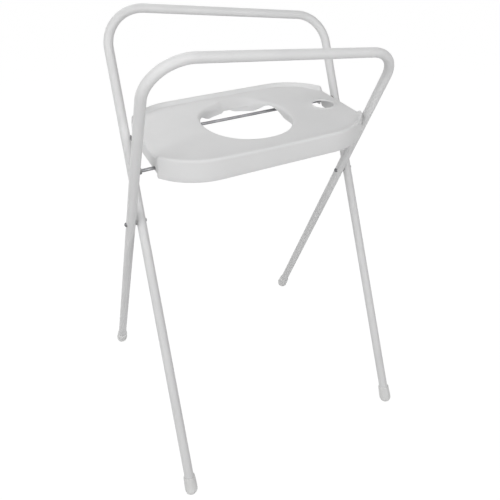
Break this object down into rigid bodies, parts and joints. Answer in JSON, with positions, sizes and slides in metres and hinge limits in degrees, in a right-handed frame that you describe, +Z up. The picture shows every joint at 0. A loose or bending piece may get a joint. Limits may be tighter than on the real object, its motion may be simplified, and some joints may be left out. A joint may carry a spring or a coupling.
{
  "type": "baby bath stand",
  "caption": "Folding stand for a baby bath: two crossed tube frames with handle bars and a hinged tray with a basin opening and a drain hole.",
  "frame": {"origin": "on the floor under the middle of the stand's overall box", "axes": "+X along the tray from its basin end to its drain end, +Y to the back, +Z up"},
  "size_m": [0.578, 0.5064, 0.9693],
  "materials": {
    "frame_tube": "white powder coat",
    "tray_plastic": "satin white moulding",
    "rod_steel": "plain drawn steel",
    "rivet_steel": "dark zinc",
    "washer_plastic": "grey moulding",
    "foot_plastic": "white moulding"
  },
  "bodies": {
    "front_frame": {"front_handle_frame": "frame_tube", "front_rod": "rod_steel", "front_rod_right_collar": "washer_plastic", "front_rod_left_collar": "washer_plastic", "back_left_foot": "foot_plastic", "back_right_foot": "foot_plastic", "left_pivot_rivet": "rivet_steel", "right_pivot_rivet": "rivet_steel", "left_pivot_washer": "washer_plastic", "right_pivot_washer": "washer_plastic"},
    "back_frame": {"back_handle_frame": "frame_tube", "back_rod": "rod_steel", "back_rod_right_collar": "washer_plastic", "back_rod_left_collar": "washer_plastic", "front_left_foot": "foot_plastic", "front_right_foot": "foot_plastic"},
    "tray_body": {"tray": "tray_plastic"}
  },
  "joints": [
    {"name": "frame_fold", "type": "hinge", "parent": "front_frame", "child": "back_frame", "pos_m": [0, 0, 0.55322], "axis": [1, 0, 0], "range_deg": [0, 35]},
    {"name": "tray_swing", "type": "hinge", "parent": "front_frame", "child": "tray_body", "pos_m": [0, -0.07114, 0.7142], "axis": [1, 0, 0], "range_deg": [0, 99.75]}
  ],
  "couplings": [
    {"joint": "tray_swing", "follows": "frame_fold", "ratio": 2.85}
  ]
}
